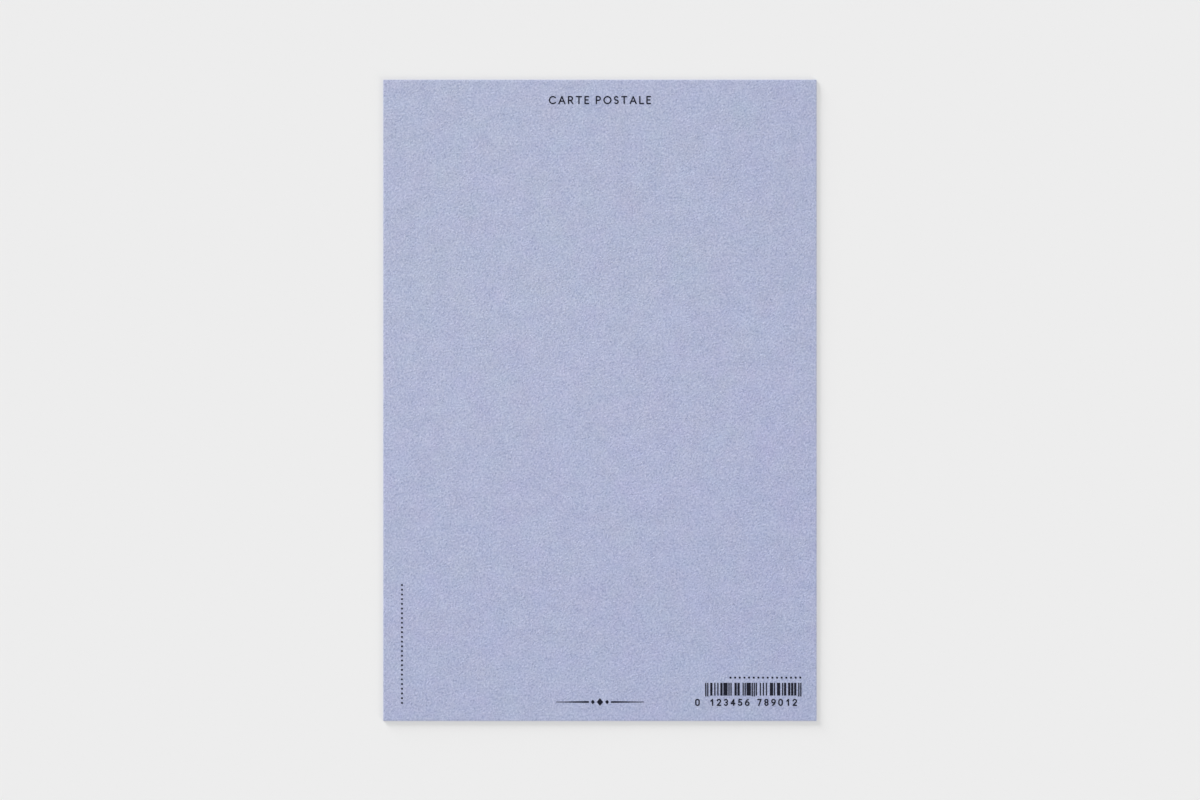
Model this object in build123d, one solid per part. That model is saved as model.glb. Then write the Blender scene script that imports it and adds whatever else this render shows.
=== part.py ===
from build123d import *
import os

# A postcard that lies on its picture side, with the address side up: two dyed sheets pasted
# back to back, and the ink of each printed mark. Sizes are in millimetres.
# Origin: middle of the underside. +X to the right and +Y to the top edge as the card is read.

# Card: the standard post size, and the layers that make up a stiff pasted card
CARD_WIDTH = 100.0
CARD_LENGTH = 148.0
PICTURE_SHEET_THICKNESS = 0.19
PASTE_THICKNESS = 0.02
ADDRESS_SHEET_THICKNESS = 0.19

# Ink: thicker than a real film of printing ink, so that each mark is a piece that can be handled
INK_THICKNESS = 0.02

# Heading: spaced capitals, centred under the top edge
HEADING_WORDS = "CARTE POSTALE"
HEADING_HEIGHT = 1.9
HEADING_STROKE = 0.31
HEADING_LETTER_GAP = 0.55
HEADING_WORD_GAP = 1.5
HEADING_MARGIN = 3.72

# Foot ornament: a large lozenge, two small ones and two tapered rules, centred over the bottom edge
ORNAMENT_WIDTH = 20.3
ORNAMENT_GAP = 0.45
LOZENGE_HEIGHT = 1.8
LOZENGE_WIDTH = 1.5
SMALL_LOZENGE_HEIGHT = 1.1
SMALL_LOZENGE_WIDTH = 0.9
RULE_INNER_WIDTH = 0.42
RULE_TIP_WIDTH = 0.14
ORNAMENT_MARGIN = 3.45

# Dotted rules: one runs up the left edge, one stands over the bar code
DOT_DIAMETER = 0.48
DOT_PITCH = 1.08
SIDE_RULE_LENGTH = 27.7
SIDE_RULE_SIDE_MARGIN = 4.05
SIDE_RULE_FOOT_MARGIN = 3.9
NOTICE_RULE_LENGTH = 16.6
NOTICE_RULE_GAP = 0.95

# Bar code: the common retail symbol, with the figures 0 to 9 in turn as a placeholder
CODE_FIGURES = "0 123456 789012"
CODE_SIDE_MARGIN = 3.5
BAR_MODULE = 0.2335
BAR_GAIN = 0.06
BAR_HEIGHT = 2.95
GUARD_DROP = 0.2
FIGURE_HEIGHT = 1.65
FIGURE_STROKE = 0.31
FIGURE_GAP = 0.55
FIGURE_MARGIN = 3.43
LEAD_FIGURE_GAP = 1.26

# Symbol standard: the widths, in modules, of the bars and spaces of each figure and of the guards
FIGURE_WIDTHS = ("3211", "2221", "2122", "1411", "1132", "1231", "1114", "1312", "1213", "3112")
FIGURE_MODULES = 7
GUARD_WIDTHS = ("111", "11111", "111")

# Layers, from the underside up
paste_bottom = PICTURE_SHEET_THICKNESS
address_bottom = paste_bottom + PASTE_THICKNESS
card_top = address_bottom + ADDRESS_SHEET_THICKNESS

# Edges of the card
left_edge = -CARD_WIDTH / 2
right_edge = CARD_WIDTH / 2
bottom_edge = -CARD_LENGTH / 2
top_edge = CARD_LENGTH / 2

# Bar code: set in from the right edge, and stacked up from the bottom edge
left_guard, centre_guard, right_guard = GUARD_WIDTHS
lead_figure, left_figures, right_figures = CODE_FIGURES.split()
left_start = len(left_guard)
right_start = left_start + len(left_figures) * FIGURE_MODULES + len(centre_guard)
symbol_modules = right_start + len(right_figures) * FIGURE_MODULES + len(right_guard)
code_right = right_edge - CODE_SIDE_MARGIN
code_left = code_right - symbol_modules * BAR_MODULE
figures_base = bottom_edge + FIGURE_MARGIN
bars_top = figures_base + FIGURE_HEIGHT + FIGURE_GAP + GUARD_DROP + BAR_HEIGHT

# Centre lines of the capitals and figures, each one unit high
bowl = Line((0, 1), (0.3, 1)) + CenterArc((0.3, 0.73), 0.27, 90, -180) + Line((0.3, 0.46), (0, 0.46))
swan_neck = CenterArc((0.28, 0.72), 0.28, 165, -200)
GLYPHS = {
    "A": [Polyline((0, 0), (0.42, 1), (0.84, 0)), Line((0.14, 0.33), (0.7, 0.33))],
    "C": [CenterArc((0.5, 0.5), 0.5, 45, 270)],
    "E": [Polyline((0.5, 1), (0, 1), (0, 0), (0.5, 0)), Line((0, 0.52), (0.43, 0.52))],
    "L": [Polyline((0, 1), (0, 0), (0.5, 0))],
    "O": [CenterArc((0.5, 0.5), 0.5, 0, 360)],
    "P": [Line((0, 0), (0, 1)), bowl],
    "R": [Line((0, 0), (0, 1)), bowl, Line((0.28, 0.46), (0.62, 0))],
    "S": [CenterArc((0.26, 0.75), 0.25, 40, 230) + CenterArc((0.26, 0.25), 0.25, 90, -230)],
    "T": [Line((0, 1), (0.7, 1)), Line((0.35, 1), (0.35, 0))],
    "0": [SlotOverall(1, 0.58, rotation=90).wire()],
    "1": [Polyline((0, 0.74), (0.26, 1), (0.26, 0))],
    "2": [swan_neck + Polyline(swan_neck @ 1, (0, 0), (0.56, 0))],
    "3": [CenterArc((0.27, 0.75), 0.25, 150, -240) + CenterArc((0.27, 0.25), 0.25, 90, -240)],
    "4": [Line((0.42, 0), (0.42, 1)), Polyline((0.42, 1), (0, 0.3), (0.6, 0.3))],
    "5": [Polyline((0.5, 1), (0.09, 1), (0.04, 0.52)), CenterArc((0.25, 0.29), 0.29, 137, -287)],
    "6": [CenterArc((0.29, 0.29), 0.29, 0, 360), TangentArc((0, 0.29), (0.46, 1), tangent=(0, 1))],
    "7": [Polyline((0, 1), (0.56, 1), (0.18, 0))],
    "8": [CenterArc((0.29, 0.75), 0.25, 0, 360), CenterArc((0.29, 0.25), 0.25, 0, 360)],
    "9": [CenterArc((0.29, 0.71), 0.29, 0, 360), TangentArc((0.58, 0.71), (0.12, 0), tangent=(0, -1))],
}


def sheet(thickness, bottom):
    """A layer of the card at its full size, cut flush with the others."""
    layer = Box(CARD_WIDTH, CARD_LENGTH, thickness, align=(Align.CENTER, Align.CENTER, Align.MIN))
    return [Pos(0, 0, bottom) * layer]


def ink(outlines):
    """A film of ink on the address side for each flat outline."""
    films = []
    for outline in outlines:
        films += extrude(Pos(0, 0, card_top) * outline, INK_THICKNESS).solids()
    return films


def stroke(path, width):
    """A pen stroke along a path: round-ended, or a ring where the path is closed."""
    outside = Sketch() + Face(path.offset_2d(width / 2))
    if path.is_closed:
        return outside - Face(path.offset_2d(-width / 2))
    return outside


def glyph(character, height, width):
    """One capital or figure in pen strokes, with the corner of its outline at the origin."""
    outline = Sketch()
    for path in GLYPHS[character]:
        outline += stroke(Wire(scale(path, by=height - width).edges()), width)
    corner = outline.bounding_box().min
    return Pos(-corner.X, -corner.Y) * outline


def heading():
    """Capitals set one after another, then centred as one line."""
    letters = []
    pen = 0
    for character in HEADING_WORDS:
        if character == " ":
            pen += HEADING_WORD_GAP - HEADING_LETTER_GAP
            continue
        letter = glyph(character, HEADING_HEIGHT, HEADING_STROKE)
        letters.append(Pos(pen, 0) * letter)
        pen += letter.bounding_box().size.X + HEADING_LETTER_GAP
    line_width = pen - HEADING_LETTER_GAP
    place = Pos(-line_width / 2, top_edge - HEADING_MARGIN - HEADING_HEIGHT)
    return [place * letter for letter in letters]


def lozenge(width, height):
    """A diamond that stands on its point."""
    return Polygon((width / 2, 0), (0, height / 2), (-width / 2, 0), (0, -height / 2))


def foot_ornament():
    """The large lozenge, and on each side of it a small one and a rule that thins towards its tip."""
    small_middle = LOZENGE_WIDTH / 2 + ORNAMENT_GAP + SMALL_LOZENGE_WIDTH / 2
    rule_start = small_middle + SMALL_LOZENGE_WIDTH / 2 + ORNAMENT_GAP
    rule_end = ORNAMENT_WIDTH / 2
    small = Pos(small_middle, 0) * lozenge(SMALL_LOZENGE_WIDTH, SMALL_LOZENGE_HEIGHT)
    rule = Polygon(
        (rule_start, -RULE_INNER_WIDTH / 2),
        (rule_end, -RULE_TIP_WIDTH / 2),
        (rule_end, RULE_TIP_WIDTH / 2),
        (rule_start, RULE_INNER_WIDTH / 2),
        align=None,
    )
    shapes = [lozenge(LOZENGE_WIDTH, LOZENGE_HEIGHT)]
    for half in (small, rule):
        shapes += [half, mirror(half, Plane.YZ)]
    place = Pos(0, bottom_edge + ORNAMENT_MARGIN + LOZENGE_HEIGHT / 2)
    return [place * shape for shape in shapes]


def dotted_rule(length, place):
    """Round dots in a row, the first and the last flush with the ends of the rule."""
    steps = round((length - DOT_DIAMETER) / DOT_PITCH)
    step = (length - DOT_DIAMETER) / steps
    dot = Pos(DOT_DIAMETER / 2, 0) * Circle(DOT_DIAMETER / 2)
    return [place * Pos(step * i, 0) * dot for i in range(steps + 1)]


def side_rule():
    """The dotted rule that runs up the left edge."""
    middle = left_edge + SIDE_RULE_SIDE_MARGIN + DOT_DIAMETER / 2
    return dotted_rule(SIDE_RULE_LENGTH, Pos(middle, bottom_edge + SIDE_RULE_FOOT_MARGIN) * Rot(0, 0, 90))


def notice_rule():
    """The dotted rule over the bars, flush with the right end of the symbol."""
    middle = bars_top + NOTICE_RULE_GAP + DOT_DIAMETER / 2
    return dotted_rule(NOTICE_RULE_LENGTH, Pos(code_right - NOTICE_RULE_LENGTH, middle))


def code_bars():
    """Bars and spaces in turn from the left end. Left figures start with a space, right ones with a bar.
    The ink spreads as it prints, so each bar is a little wider than its modules."""
    runs = [(left_guard, True, GUARD_DROP)]
    runs += [(FIGURE_WIDTHS[int(figure)], False, 0) for figure in left_figures]
    runs += [(centre_guard, False, GUARD_DROP)]
    runs += [(FIGURE_WIDTHS[int(figure)], True, 0) for figure in right_figures]
    runs += [(right_guard, True, GUARD_DROP)]
    outlines = []
    pen = code_left
    for widths, inked, drop in runs:
        for modules in widths:
            width = int(modules) * BAR_MODULE
            if inked:
                bar = Rectangle(width + BAR_GAIN, BAR_HEIGHT + drop, align=(Align.CENTER, Align.MAX))
                outlines.append(Pos(pen + width / 2, bars_top) * bar)
            pen += width
            inked = not inked
    return outlines


def code_figures():
    """The figures under the bars, each in the middle of its own modules, and the lead one to the left."""
    lead = glyph(lead_figure, FIGURE_HEIGHT, FIGURE_STROKE)
    lead_left = code_left - LEAD_FIGURE_GAP - lead.bounding_box().size.X
    outlines = [Pos(lead_left, figures_base) * lead]
    for figures, start in ((left_figures, left_start), (right_figures, right_start)):
        for i, figure in enumerate(figures):
            shape = glyph(figure, FIGURE_HEIGHT, FIGURE_STROKE)
            middle = code_left + (start + (i + 0.5) * FIGURE_MODULES) * BAR_MODULE
            outlines.append(Pos(middle - shape.bounding_box().size.X / 2, figures_base) * shape)
    return outlines


nodes = {
    "picture_sheet": sheet(PICTURE_SHEET_THICKNESS, 0),
    "paste_film": sheet(PASTE_THICKNESS, paste_bottom),
    "address_sheet": sheet(ADDRESS_SHEET_THICKNESS, address_bottom),
    "heading_print": ink(heading()),
    "foot_ornament_print": ink(foot_ornament()),
    "side_rule_print": ink(side_rule()),
    "notice_rule_print": ink(notice_rule()),
    "barcode_bars_print": ink(code_bars()),
    "barcode_figures_print": ink(code_figures()),
}

os.makedirs("parts", exist_ok=True)
for name, solids in nodes.items():
    export_step(Compound(label=name, children=solids), f"parts/{name}.step")
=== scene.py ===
import math

import bmesh
import bpy
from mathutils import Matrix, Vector, noise


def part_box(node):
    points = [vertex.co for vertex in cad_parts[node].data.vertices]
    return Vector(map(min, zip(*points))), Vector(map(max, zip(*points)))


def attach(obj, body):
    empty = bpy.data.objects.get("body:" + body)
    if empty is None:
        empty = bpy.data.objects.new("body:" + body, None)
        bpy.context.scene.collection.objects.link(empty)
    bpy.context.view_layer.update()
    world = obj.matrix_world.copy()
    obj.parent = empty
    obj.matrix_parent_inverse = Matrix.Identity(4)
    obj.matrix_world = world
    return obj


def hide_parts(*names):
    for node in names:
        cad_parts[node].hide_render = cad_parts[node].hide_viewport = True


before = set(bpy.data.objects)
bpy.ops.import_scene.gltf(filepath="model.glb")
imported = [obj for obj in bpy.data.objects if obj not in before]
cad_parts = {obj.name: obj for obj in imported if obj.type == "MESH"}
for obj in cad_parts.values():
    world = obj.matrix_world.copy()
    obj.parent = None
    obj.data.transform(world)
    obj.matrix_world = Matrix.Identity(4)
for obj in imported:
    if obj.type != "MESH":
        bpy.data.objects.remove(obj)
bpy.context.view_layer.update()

# A postcard of dyed, felt-marked paper that lies on its picture side under soft studio light.
# Lengths are in metres, so a size in millimetres is written as a number times MM.
MM = 0.001

# Where the card lies in the photograph, in its own pixels
PHOTO_WIDTH_PX = 1200
PHOTO_HEIGHT_PX = 800
CARD_WIDTH_PX = 433.08
CARD_CENTRE_PX = (599.93, 400.33)

# Camera: straight above the card
LENS_MM = 85
SENSOR_MM = 36

# Floor and backdrop
FLOOR_COLOUR = "#EDEDED"
FLOOR_REACH = 4

# Light: each lamp's share of the light that falls on the card. The world gives the rest.
OVERHEAD_SHARE = 0.30
OVERHEAD_ANGLE = 80
KEY_SHARE = 0.21
KEY_ELEVATION = 9
KEY_ANGLE = 18
KEY_FROM = (-0.65, 0.76)
FILL_SHARE = 0.08
FILL_ELEVATION = 14
FILL_ANGLE = 18
FILL_FROM = (0.75, -0.66)

# Sheet meshes: the spacing of their grid, and the softened cut edge
GRID_STEP = 0.42 * MM
EDGE_ROUND = 0.015 * MM
EDGE_STEPS = 3

# Felt mark: broad and fine dents in the shown face, and the share of them that the printing press
# leaves under the print
FELT_DEPTH = 0.045 * MM
FELT_CELL = 1.4 * MM
FELT_BROAD = 0.45
FELT_FINE = 0.22
PRESSED_SHARE = 0.15
PRESSED_MARGIN = 1.2 * MM

# Dyed paper: a mat of short fibres that lie every way, rubbed smoother where they lie high.
# Real fibres are about 0.03 mm wide, which is too fine to show, so they are drawn as bundles.
FIBRE_DARK = "#9BA3C3"
FIBRE_PALE = "#C4C9E2"
FIBRE_ANGLES = (15, 45, 70, 110)
FIBRE_LENGTH = 0.53 * MM
FIBRE_WIDTH = 0.34 * MM
FIBRE_RELIEF = 0.12 * MM
FIBRE_CONTRAST = 2.5
MAT_LOW = 0.35
MAT_HIGH = 0.65
PAPER_ROUGHNESS = (0.96, 0.84)

# Single fibres that stand out of the mat, in layers shifted against each other
SINGLE_LAYERS = 3
SINGLE_SHIFT = (7 * MM, 11 * MM)
SINGLE_CELL = 0.9 * MM
SINGLE_LENGTH = 1.1 * MM
SINGLE_WIDTH = 0.2 * MM
SINGLE_CORE = 0.2
SINGLE_TONE = 0.48
SINGLE_RELIEF = 0.5

# Cloudy formation of the pulp
FORMATION_CELL = 3.5 * MM
FORMATION_TONE = 0.32

# Clouds of hue in the dye
CLOUD_CELL = 8 * MM
CLOUD_TINT = 0.11

# Painted light and shade: slow drifts over the sheet that stand in for light falling off from the upper
# left, a faint warm tint at the top and painted shade towards the foot and the right edge. For each:
# the way it runs, where along it the drift starts and is full, and the tint that it brings. The first
# runs up to the top edge, the next two down to the foot and the last one to the right edge.
PAINTED_LIGHT_FALLOFF = (
    ((0, 1, 0), -12 * MM, 30 * MM, "#FCFFF1"),
    ((0, -1, 0), -30 * MM, 12 * MM, "#FFF2FF"),
    ((0, -1, 0), -5 * MM, 74 * MM, "#ADCCD4"),
    ((1, 0, 0), -10 * MM, 50 * MM, "#CDCDE4"),
)
PAINTED_FALLOFF_SHARE = 0.1

# The picture side's patterns are moved, so that they aren't those of the address side
PICTURE_SIDE_SHIFT = 31 * MM

# Cut edge: the fibres lie flat in the sheet, so that a cut through them shows as level strands
CUT_EDGE_DARK = "#747B98"
CUT_EDGE_PALE = "#A0A6C2"
CUT_EDGE_ROUGHNESS = (1.0, 0.9)
STRAND_LENGTH = 0.45 * MM
STRAND_DEPTH = 0.03 * MM
STRAND_RELIEF = 0.01 * MM

# Ink: its film goes from full to thin between two heights of the fibre mat
INK_COLOUR = "#151724"
THIN_INK = "#2B2E40"
INK_FULL_AT = 0.55
INK_THIN_AT = 0.75
INK_ROUGHNESS = (0.62, 0.8)

# Paste: a dried film with soft lumps
PASTE_COLOUR = "#7A7F93"
PASTE_PALE = "#969BAE"
PASTE_ROUGHNESS = (0.5, 0.7)
PASTE_LUMP = 0.5 * MM
PASTE_RELIEF = 0.004 * MM


def linear(colour):
    """An sRGB hex colour as the linear values that shaders take."""
    values = [int(colour[i : i + 2], 16) / 255 for i in (1, 3, 5)]
    return [v / 12.92 if v <= 0.04045 else ((v + 0.055) / 1.055) ** 2.4 for v in values] + [1.0]


def wire(tree, node, inputs):
    """Gives inputs of a node a value each, or another node's output."""
    for socket, value in inputs.items():
        if isinstance(value, bpy.types.NodeSocket):
            tree.links.new(value, node.inputs[socket])
        else:
            node.inputs[socket].default_value = value


def add(tree, kind, inputs=None, **settings):
    """Adds a node with its settings and wires its inputs."""
    node = tree.nodes.new(kind)
    for name, value in settings.items():
        setattr(node, name, value)
    wire(tree, node, inputs or {})
    return node


def material(name):
    """A new material, its tree and its shader."""
    made = bpy.data.materials.new(name)
    made.use_nodes = True
    return made, made.node_tree, made.node_tree.nodes["Principled BSDF"]


def fibre_mat(tree, place, shift):
    """The height of the mat, from 0 to 1 around 0.5: stretched noise at several angles, averaged."""
    height = 0
    for i, angle in enumerate(FIBRE_ANGLES):
        laid = add(
            tree,
            "ShaderNodeMapping",
            {
                "Vector": place,
                "Location": (shift * (i + 1), shift * (i + 2), 0),
                "Rotation": (0, 0, math.radians(angle)),
                "Scale": (FIBRE_LENGTH, FIBRE_WIDTH, FIBRE_WIDTH),
            },
            vector_type="TEXTURE",
        )
        layer = add(tree, "ShaderNodeTexNoise", {"Vector": laid.outputs[0], "Scale": 1, "Detail": 0})
        laid_on = add(
            tree,
            "ShaderNodeMath",
            {0: layer.outputs["Fac"], 1: 1 / len(FIBRE_ANGLES), 2: height},
            operation="MULTIPLY_ADD",
        )
        height = laid_on.outputs[0]
    return height


def fibre_layer(tree, place, below):
    """Lays one fibre in each cell of a random pattern, over the layers below. The cell's own random
    colour turns the fibre and gives its tone, above 0 for a pale one and below 0 for a dark one."""
    cell = add(
        tree, "ShaderNodeTexVoronoi", {"Vector": place, "Scale": 1 / SINGLE_CELL}, voronoi_dimensions="2D"
    )
    chance = add(tree, "ShaderNodeSeparateColor", {0: cell.outputs["Color"]})
    reach = add(
        tree,
        "ShaderNodeVectorMath",
        {0: place, 1: cell.outputs["Position"]},
        operation="SUBTRACT",
    )
    turn = add(tree, "ShaderNodeMath", {0: chance.outputs[0], 1: math.tau}, operation="MULTIPLY")
    turned = add(
        tree,
        "ShaderNodeVectorRotate",
        {"Vector": reach.outputs[0], "Angle": turn.outputs[0]},
        rotation_type="Z_AXIS",
    )
    halves = add(
        tree,
        "ShaderNodeVectorMath",
        {0: turned.outputs[0], 1: (2 / SINGLE_LENGTH, 2 / SINGLE_WIDTH, 0)},
        operation="MULTIPLY",
    )
    far = add(tree, "ShaderNodeVectorMath", {0: halves.outputs[0]}, operation="LENGTH")
    inside = add(
        tree,
        "ShaderNodeMapRange",
        {"Value": far.outputs["Value"], "From Min": 1, "From Max": SINGLE_CORE},
        interpolation_type="SMOOTHSTEP",
    )
    tone = add(tree, "ShaderNodeMath", {0: chance.outputs[1], 1: 0.5}, operation="SUBTRACT")
    laid_on = add(
        tree,
        "ShaderNodeMath",
        {0: tone.outputs[0], 1: inside.outputs[0], 2: below},
        operation="MULTIPLY_ADD",
    )
    return laid_on.outputs[0]


def single_fibres(tree, place, shift):
    """The tone of the single fibres, all layers together."""
    step_x, step_y = SINGLE_SHIFT
    tone = 0
    for i in range(SINGLE_LAYERS):
        moved = add(
            tree, "ShaderNodeMapping", {"Vector": place, "Location": (shift + i * step_x, i * step_y, 0)}
        )
        tone = fibre_layer(tree, moved.outputs[0], tone)
    return tone


def pulp_colour(tree, place, mat, singles):
    """The colour of the fibres, from dark to pale, and a little deeper where the pulp lies thin."""
    shade = add(
        tree,
        "ShaderNodeMapRange",
        {"Value": mat, "From Min": 0.5 - 0.5 / FIBRE_CONTRAST, "From Max": 0.5 + 0.5 / FIBRE_CONTRAST},
        clamp=False,
    )
    toned = add(
        tree,
        "ShaderNodeMath",
        {0: singles, 1: SINGLE_TONE, 2: shade.outputs[0]},
        operation="MULTIPLY_ADD",
    )
    pulp = add(tree, "ShaderNodeTexNoise", {"Vector": place, "Scale": 1 / FORMATION_CELL, "Detail": 1})
    thick = add(
        tree,
        "ShaderNodeMapRange",
        {"Value": pulp.outputs["Fac"], "To Min": -FORMATION_TONE / 2, "To Max": FORMATION_TONE / 2},
    )
    formed = add(tree, "ShaderNodeMath", {0: toned.outputs[0], 1: thick.outputs[0]})
    colour = add(
        tree,
        "ShaderNodeMix",
        {0: formed.outputs[0], 6: linear(FIBRE_DARK), 7: linear(FIBRE_PALE)},
        data_type="RGBA",
    )
    return colour.outputs[2]


def dye_clouds_and_painted_shade(tree, place):
    """What the dye does to the colour, clouds from blue to lilac, and painted light and shade: slow
    drifts over the sheet, darker towards the foot and the right edge and warmer at the top, as if lit
    from the upper left.
    """
    cloud = add(
        tree,
        "ShaderNodeTexNoise",
        {"Vector": place, "Scale": 1 / CLOUD_CELL, "Detail": 5, "Roughness": 0.65},
    )
    clouds_and_shade = add(
        tree,
        "ShaderNodeVectorMath",
        {0: cloud.outputs["Color"], 1: [CLOUD_TINT] * 3, 2: [1 - CLOUD_TINT / 2] * 3},
        operation="MULTIPLY_ADD",
    )
    # Painted light and shade: each drift warms or darkens the colour as light falling off from the upper
    # left would.
    for way, start, full, falloff_tint in PAINTED_LIGHT_FALLOFF:
        along = add(tree, "ShaderNodeVectorMath", {0: place, 1: way}, operation="DOT_PRODUCT")
        share = add(
            tree,
            "ShaderNodeMapRange",
            {"Value": along.outputs["Value"], "From Min": start, "From Max": full, "To Max": PAINTED_FALLOFF_SHARE},
        )
        painted_falloff = add(
            tree,
            "ShaderNodeMix",
            {0: share.outputs[0], 6: (1, 1, 1, 1), 7: linear(falloff_tint)},
            data_type="RGBA",
        )
        clouds_and_shade = add(
            tree, "ShaderNodeVectorMath", {0: clouds_and_shade.outputs[0], 1: painted_falloff.outputs[2]}, operation="MULTIPLY"
        )
    return clouds_and_shade.outputs[0]


def dyed_paper(name, shift):
    """Paper dyed in the pulp: matt, speckled by its fibres, faintly clouded from blue to lilac, and
    darkened by painted shade towards the foot and the right edge.
    """
    made, tree, shader = material(name)
    place = add(tree, "ShaderNodeTexCoord").outputs["Object"]
    mat = fibre_mat(tree, place, shift)
    singles = single_fibres(tree, place, shift)
    pulp = pulp_colour(tree, place, mat, singles)
    # The colour carries painted light and shade, darker towards the foot and the right edge.
    colour = add(tree, "ShaderNodeVectorMath", {0: pulp, 1: dye_clouds_and_painted_shade(tree, place)}, operation="MULTIPLY")
    height = add(tree, "ShaderNodeMath", {0: singles, 1: SINGLE_RELIEF, 2: mat}, operation="MULTIPLY_ADD")
    relief = add(tree, "ShaderNodeBump", {"Height": height.outputs[0], "Distance": FIBRE_RELIEF})
    deep, rubbed = PAPER_ROUGHNESS
    matt = add(
        tree,
        "ShaderNodeMapRange",
        {"Value": mat, "From Min": MAT_LOW, "From Max": MAT_HIGH, "To Min": deep, "To Max": rubbed},
    )
    wire(
        tree,
        shader,
        {
            "Base Color": colour.outputs[0],
            "Normal": relief.outputs[0],
            "Roughness": matt.outputs[0],
            "IOR": 1.53,
            "Specular IOR Level": 0.15,
        },
    )
    return made


def cut_paper(name):
    """Dyed paper where the knife went through it: matt, in fine level strands, darker than the face."""
    made, tree, shader = material(name)
    place = add(tree, "ShaderNodeTexCoord").outputs["Object"]
    laid = add(
        tree,
        "ShaderNodeMapping",
        {"Vector": place, "Scale": (STRAND_LENGTH, STRAND_LENGTH, STRAND_DEPTH)},
        vector_type="TEXTURE",
    )
    layer = add(tree, "ShaderNodeTexNoise", {"Vector": laid.outputs[0], "Scale": 1, "Detail": 2})
    strands = layer.outputs["Fac"]
    colour = add(
        tree,
        "ShaderNodeMix",
        {0: strands, 6: linear(CUT_EDGE_DARK), 7: linear(CUT_EDGE_PALE)},
        data_type="RGBA",
    )
    relief = add(tree, "ShaderNodeBump", {"Height": strands, "Distance": STRAND_RELIEF})
    deep, cut = CUT_EDGE_ROUGHNESS
    matt = add(tree, "ShaderNodeMapRange", {"Value": strands, "To Min": deep, "To Max": cut})
    wire(
        tree,
        shader,
        {
            "Base Color": colour.outputs[2],
            "Normal": relief.outputs[0],
            "Roughness": matt.outputs[0],
            "IOR": 1.53,
            "Specular IOR Level": 0.1,
        },
    )
    return made


def printing_ink(name):
    """Offset ink soaked into the paper: a near-black blue, matt, thinner where a fibre stands proud."""
    made, tree, shader = material(name)
    place = add(tree, "ShaderNodeTexCoord").outputs["Object"]
    mat = fibre_mat(tree, place, 0)
    thin = add(
        tree, "ShaderNodeMapRange", {"Value": mat, "From Min": INK_FULL_AT, "From Max": INK_THIN_AT}
    )
    colour = add(
        tree,
        "ShaderNodeMix",
        {0: thin.outputs[0], 6: linear(INK_COLOUR), 7: linear(THIN_INK)},
        data_type="RGBA",
    )
    relief = add(tree, "ShaderNodeBump", {"Height": mat, "Distance": FIBRE_RELIEF})
    full, dry = INK_ROUGHNESS
    matt = add(tree, "ShaderNodeMapRange", {"Value": thin.outputs[0], "To Min": full, "To Max": dry})
    wire(
        tree,
        shader,
        {
            "Base Color": colour.outputs[2],
            "Normal": relief.outputs[0],
            "Roughness": matt.outputs[0],
            "IOR": 1.49,
            "Specular IOR Level": 0.1,
        },
    )
    return made


def dried_paste(name):
    """Dried starch paste: a greyish, faintly cloudy film, seen only as a hairline round the edge."""
    made, tree, shader = material(name)
    place = add(tree, "ShaderNodeTexCoord").outputs["Object"]
    film = add(tree, "ShaderNodeTexNoise", {"Vector": place, "Scale": 1 / PASTE_LUMP, "Detail": 2})
    lumps = film.outputs["Fac"]
    colour = add(
        tree,
        "ShaderNodeMix",
        {0: lumps, 6: linear(PASTE_COLOUR), 7: linear(PASTE_PALE)},
        data_type="RGBA",
    )
    relief = add(tree, "ShaderNodeBump", {"Height": lumps, "Distance": PASTE_RELIEF})
    hollow, lump = PASTE_ROUGHNESS
    matt = add(tree, "ShaderNodeMapRange", {"Value": lumps, "To Min": hollow, "To Max": lump})
    wire(
        tree,
        shader,
        {
            "Base Color": colour.outputs[2],
            "Normal": relief.outputs[0],
            "Roughness": matt.outputs[0],
            "IOR": 1.53,
        },
    )
    return made


def into_scene(name, data):
    """A new object of the scene, from a mesh, a lamp or a camera."""
    made = bpy.data.objects.new(name, data)
    bpy.context.scene.collection.objects.link(made)
    return made


def finished_mesh(name, bm, materials):
    """The mesh as an object of the scene, with its materials."""
    mesh = bpy.data.meshes.new(name)
    bm.to_mesh(mesh)
    bm.free()
    for finish in materials:
        mesh.materials.append(finish)
    return into_scene(name, mesh)


def felt_mark(x, y):
    """How deep the felt has pressed into the wet sheet at a point."""
    broad = noise.noise(Vector((x, y, 0)) / FELT_CELL)
    fine = noise.noise(Vector((y, x, 0)) / (FELT_CELL / 2))
    return FELT_DEPTH * min(max(0.5 + FELT_BROAD * broad + FELT_FINE * fine, 0), 1)


def pressed_flat(x, y, printed):
    """The share of the felt mark that the printing press has left at a point: little under the print."""
    away = PRESSED_MARGIN
    for low, high in printed:
        beside = max(low.x - x, x - high.x, 0)
        above = max(low.y - y, y - high.y, 0)
        away = min(away, math.hypot(beside, above))
    return PRESSED_SHARE + (1 - PRESSED_SHARE) * away / PRESSED_MARGIN


def drawn_rim(bm, rim, half_x, half_y, drop=None):
    """Draws the open edge of a sheet out to a new outline, and down by a drop, or else to the base."""
    old_x = max(v.co.x for e in rim for v in e.verts)
    old_y = max(v.co.y for e in rim for v in e.verts)
    drawn = bmesh.ops.extrude_edge_only(bm, edges=rim)["geom"]
    for v in drawn:
        if isinstance(v, bmesh.types.BMVert):
            z = 0 if drop is None else v.co.z - drop
            v.co = (v.co.x * half_x / old_x, v.co.y * half_y / old_y, z)
    return [e for e in drawn if isinstance(e, bmesh.types.BMEdge) and e.is_boundary]


def sort_faces(bm):
    """Sorts the faces by place, because those of a drawn rim come in another order in every run."""
    ordered = sorted(bm.faces, key=lambda f: f.calc_center_median()[:])
    ranks = {f: rank for rank, f in enumerate(ordered)}
    bm.faces.sort(key=ranks.get)


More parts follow.
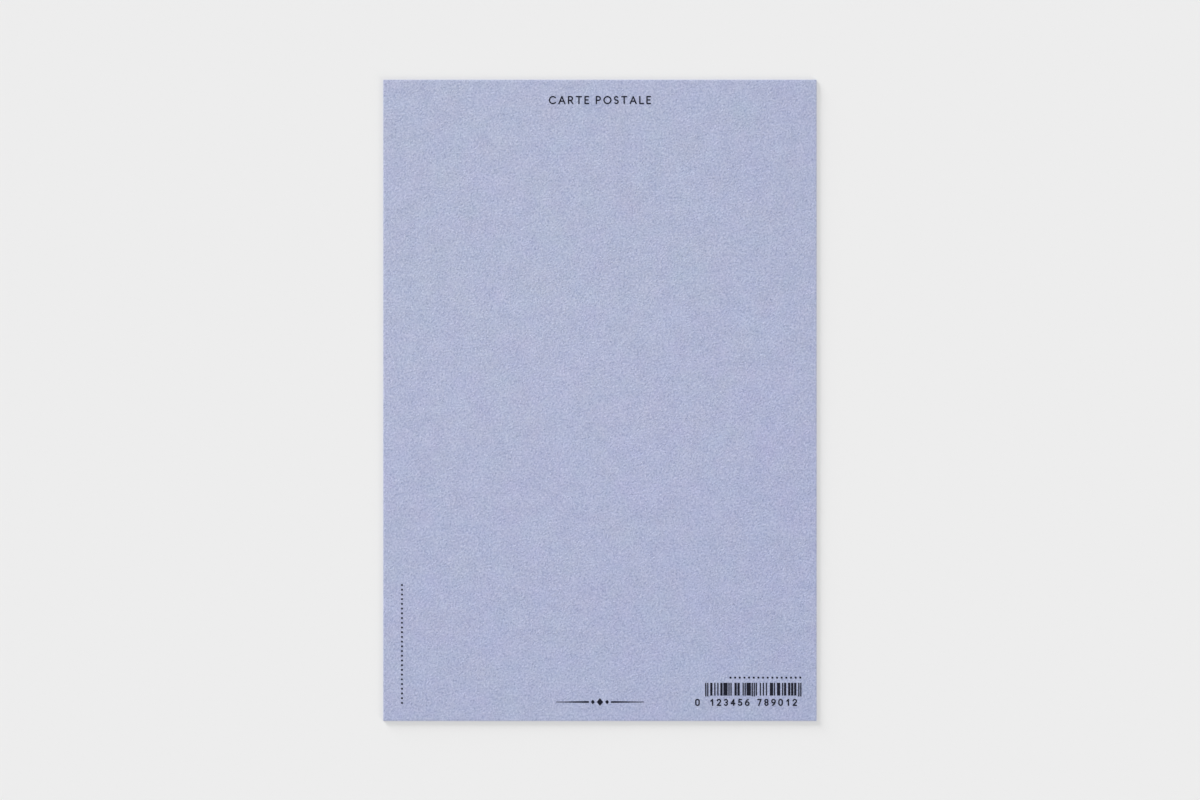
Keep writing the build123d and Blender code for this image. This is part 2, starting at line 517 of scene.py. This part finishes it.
def sheet(name, node, shown_up, printed, face_paper, cut_edge):
    """One sheet of the card: a fine grid, pressed by the felt on its shown face, with softened edges."""
    low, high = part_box(node)
    size = high - low
    half_x = size.x / 2 - EDGE_ROUND
    half_y = size.y / 2 - EDGE_ROUND
    bm = bmesh.new()
    bmesh.ops.create_grid(
        bm, x_segments=round(size.x / GRID_STEP), y_segments=round(size.y / GRID_STEP), size=1
    )
    bmesh.ops.scale(bm, vec=(half_x, half_y, 1), verts=bm.verts)
    for v in bm.verts:
        v.co.z = size.z - felt_mark(v.co.x, v.co.y) * pressed_flat(v.co.x, v.co.y, printed)
    rim = [e for e in bm.edges if e.is_boundary]
    quarter = [math.radians(90 * step / EDGE_STEPS) for step in range(EDGE_STEPS + 1)]
    for before, turn in zip(quarter, quarter[1:]):
        out = EDGE_ROUND * math.sin(turn)
        drop = EDGE_ROUND * (math.cos(before) - math.cos(turn))
        rim = drawn_rim(bm, rim, half_x + out, half_y + out, drop)
    rim = drawn_rim(bm, rim, size.x / 2, size.y / 2)
    bmesh.ops.contextual_create(bm, geom=rim)
    bmesh.ops.recalc_face_normals(bm, faces=bm.faces)
    for v in bm.verts:
        v.co.z = low.z + v.co.z if shown_up else high.z - v.co.z
    if not shown_up:
        bmesh.ops.reverse_faces(bm, faces=bm.faces)
    bm.normal_update()
    sort_faces(bm)
    for f in bm.faces:
        is_base = len(f.verts) > 4
        is_upright = abs(f.normal.z) < 0.5
        f.smooth = not is_base
        f.material_index = 1 if is_upright else 0
    return finished_mesh(name, bm, [face_paper, cut_edge])


def sun(name, share, angle, elevation=90, side=(0, -1)):
    """A soft lamp that gives a share of the light on a level surface, from a height over one side."""
    height = math.radians(elevation)
    lamp = bpy.data.lights.new(name, "SUN")
    lamp.angle = math.radians(angle)
    lamp.energy = math.pi * share / math.sin(height)
    level = Vector((*side, 0)).normalized() * math.cos(height)
    to_lamp = level + Vector((0, 0, math.sin(height)))
    made = into_scene(name, lamp)
    made.rotation_euler = to_lamp.to_track_quat("Z", "Y").to_euler()


def floor_paint(name):
    """Pale paint with no gloss at all, so that nothing shows on it but the card's shadow."""
    made, tree, shader = material(name)
    wire(tree, shader, {"Base Color": linear(FLOOR_COLOUR), "Roughness": 1, "Specular IOR Level": 0})
    return made


def floor(paint):
    """A level floor, wide enough to fill every view."""
    bm = bmesh.new()
    bmesh.ops.create_grid(bm, x_segments=1, y_segments=1, size=FLOOR_REACH)
    finished_mesh("floor", bm, [paint])


def studio_light():
    """An overhead soft lamp, two low ones that rake the paper from both sides, and an even world.
    The world looks like the floor to the camera and in reflections."""
    sun("overhead", OVERHEAD_SHARE, OVERHEAD_ANGLE)
    sun("key", KEY_SHARE, KEY_ANGLE, KEY_ELEVATION, KEY_FROM)
    sun("fill", FILL_SHARE, FILL_ANGLE, FILL_ELEVATION, FILL_FROM)
    world = bpy.data.worlds.new("studio")
    bpy.context.scene.world = world
    world.use_nodes = True
    tree = world.node_tree
    tree.nodes.clear()
    rays = add(tree, "ShaderNodeLightPath").outputs
    seen = rays["Is Camera Ray"]
    for kind in ("Is Glossy Ray", "Is Transmission Ray"):
        seen = add(tree, "ShaderNodeMath", {0: seen, 1: rays[kind]}, operation="MAXIMUM").outputs[0]
    rest = 1 - OVERHEAD_SHARE - KEY_SHARE - FILL_SHARE
    light = add(tree, "ShaderNodeBackground", {"Color": (1, 1, 1, 1), "Strength": rest})
    backdrop = add(tree, "ShaderNodeBackground", {"Color": linear(FLOOR_COLOUR), "Strength": 1})
    both = add(tree, "ShaderNodeMixShader", {0: seen, 1: light.outputs[0], 2: backdrop.outputs[0]})
    add(tree, "ShaderNodeOutputWorld", {"Surface": both.outputs[0]})


def camera():
    """Looks straight down, as far away as makes the card as wide in the frame as in the photograph."""
    low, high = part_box("address_sheet")
    pixel = (high.x - low.x) / CARD_WIDTH_PX
    lens = bpy.data.cameras.new("camera")
    lens.lens = LENS_MM
    lens.sensor_width = SENSOR_MM
    made = into_scene("camera", lens)
    made.location = (
        (low.x + high.x) / 2 - (CARD_CENTRE_PX[0] - PHOTO_WIDTH_PX / 2) * pixel,
        (low.y + high.y) / 2 + (CARD_CENTRE_PX[1] - PHOTO_HEIGHT_PX / 2) * pixel,
        high.z + PHOTO_WIDTH_PX * pixel * LENS_MM / SENSOR_MM,
    )
    bpy.context.scene.camera = made


bpy.context.scene.view_settings.view_transform = "Standard"
camera()
floor(floor_paint("pale floor"))
studio_light()

cut_edge = cut_paper("cut edge of dyed paper")
prints = [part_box(name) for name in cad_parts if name.endswith("_print")]
for node, shown_up, printed, shift in (
    ("address_sheet", True, prints, 0),
    ("picture_sheet", False, [], PICTURE_SIDE_SHIFT),
):
    paper = dyed_paper("dyed felt-marked paper, " + node.replace("_", " "), shift)
    piece = sheet(node.replace("sheet", "paper"), node, shown_up, printed, paper, cut_edge)
    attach(piece, "root")
    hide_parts(node)

ink = printing_ink("matt printing ink")
paste = dried_paste("dried paste")
for name, cad_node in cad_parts.items():
    if name.endswith("_print"):
        cad_node.data.materials[0] = ink
    elif name == "paste_film":
        cad_node.data.materials[0] = paste
